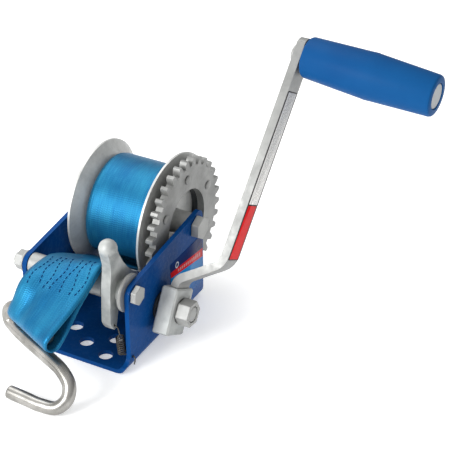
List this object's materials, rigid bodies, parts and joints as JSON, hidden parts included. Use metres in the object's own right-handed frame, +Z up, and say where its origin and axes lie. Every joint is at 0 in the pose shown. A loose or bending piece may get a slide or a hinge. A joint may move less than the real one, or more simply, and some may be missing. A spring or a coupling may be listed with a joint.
{
  "type": "boat trailer hand winch",
  "caption": "Hand winch with a channel frame, geared webbing drum, cranked handle, ratchet pawl, strap and hook.",
  "frame": {"origin": "middle of the frame's underside", "axes": "+X along the drum towards the gears and the handle, +Y away from the strap and hook, +Z up"},
  "size_m": [0.2703, 0.2323, 0.2197],
  "materials": {
    "frame": "glossy blue powder coat",
    "drum_core": "zinc-plated steel tube",
    "left_flange": "zinc-plated pressed steel",
    "right_flange": "zinc-plated pressed steel",
    "ring_gear": "zinc-plated stamped steel",
    "gear_spacer": "dark steel ring",
    "gear_rivet_1": "zinc-plated steel",
    "gear_rivet_2": "zinc-plated steel",
    "gear_rivet_3": "zinc-plated steel",
    "gear_rivet_4": "zinc-plated steel",
    "gear_rivet_5": "zinc-plated steel",
    "gear_rivet_6": "zinc-plated steel",
    "strap_anchor_pin": "zinc-plated steel",
    "strap_roll": "woven blue webbing, rolled",
    "strap_tail": "woven blue webbing",
    "drum_bolt": "zinc-plated steel",
    "drum_bolt_washer": "zinc-plated steel",
    "drum_bolt_nut": "zinc-plated steel",
    "crank_shaft": "zinc-plated steel",
    "shaft_retaining_ring": "dark spring steel",
    "shaft_bush_left": "sintered steel",
    "shaft_bush_right": "sintered steel",
    "pinion": "zinc-plated steel",
    "crank_hub": "zinc-plated steel block",
    "crank_nut": "zinc-plated steel",
    "crank_arm": "zinc-plated bent steel bar",
    "grip_pin": "zinc-plated steel",
    "grip": "blue moulded plastic",
    "grip_cap": "grey moulded plastic",
    "pawl": "zinc-plated casting",
    "pawl_bolt": "zinc-plated steel",
    "pawl_bolt_washer": "zinc-plated steel",
    "pawl_bolt_nut": "zinc-plated steel",
    "pawl_spacer_tube": "zinc-plated steel tube",
    "pawl_disc": "bright turned steel",
    "pawl_spring": "dark spring wire",
    "s_hook": "bright zinc-plated rod"
  },
  "bodies": {
    "winch_frame": {"frame": "frame", "drum_bolt": "drum_bolt", "drum_bolt_washer": "drum_bolt_washer", "drum_bolt_nut": "drum_bolt_nut", "shaft_bush_left": "shaft_bush_left", "shaft_bush_right": "shaft_bush_right", "pawl_bolt": "pawl_bolt", "pawl_bolt_washer": "pawl_bolt_washer", "pawl_bolt_nut": "pawl_bolt_nut", "pawl_spacer_tube": "pawl_spacer_tube", "pawl_disc": "pawl_disc", "pawl_spring": "pawl_spring", "strap_tail": "strap_tail"},
    "drum": {"drum_core": "drum_core", "left_flange": "left_flange", "right_flange": "right_flange", "ring_gear": "ring_gear", "gear_spacer": "gear_spacer", "gear_rivet_1": "gear_rivet_1", "gear_rivet_2": "gear_rivet_2", "gear_rivet_3": "gear_rivet_3", "gear_rivet_4": "gear_rivet_4", "gear_rivet_5": "gear_rivet_5", "gear_rivet_6": "gear_rivet_6", "strap_anchor_pin": "strap_anchor_pin", "strap_roll": "strap_roll"},
    "crank": {"crank_shaft": "crank_shaft", "shaft_retaining_ring": "shaft_retaining_ring", "pinion": "pinion", "crank_hub": "crank_hub", "crank_nut": "crank_nut", "crank_arm": "crank_arm", "grip_pin": "grip_pin"},
    "handle_grip": {"grip": "grip", "grip_cap": "grip_cap"},
    "ratchet_pawl": {"pawl": "pawl"},
    "hook": {"s_hook": "s_hook"}
  },
  "joints": [
    {"name": "drum_spin", "type": "hinge", "parent": "winch_frame", "child": "drum", "pos_m": [0, 0.0475, 0.069], "axis": [1, 0, 0], "continuous": true},
    {"name": "crank_spin", "type": "hinge", "parent": "winch_frame", "child": "crank", "pos_m": [0, -0.0074, 0.03183], "axis": [1, 0, 0], "continuous": true},
    {"name": "grip_spin", "type": "hinge", "parent": "crank", "child": "handle_grip", "pos_m": [0.10712, 0.09305, 0.20512], "axis": [0.9978, -0.0332, -0.0573], "continuous": true},
    {"name": "pawl_pivot", "type": "hinge", "parent": "winch_frame", "child": "ratchet_pawl", "pos_m": [0, -0.042, 0.062], "axis": [1, 0, 0], "range_deg": [-12, 18], "stiffness_Nm_per_rad": 0.25, "deforming": ["pawl_spring"]},
    {"name": "hook_swing", "type": "hinge", "parent": "winch_frame", "child": "hook", "pos_m": [-0.007, -0.092, 0.0488], "axis": [0.9124, -0.4082, -0.03], "range_deg": [-8, 3]}
  ],
  "couplings": [
    {"joint": "crank_spin", "follows": "drum_spin", "ratio": -3.1}
  ]
}
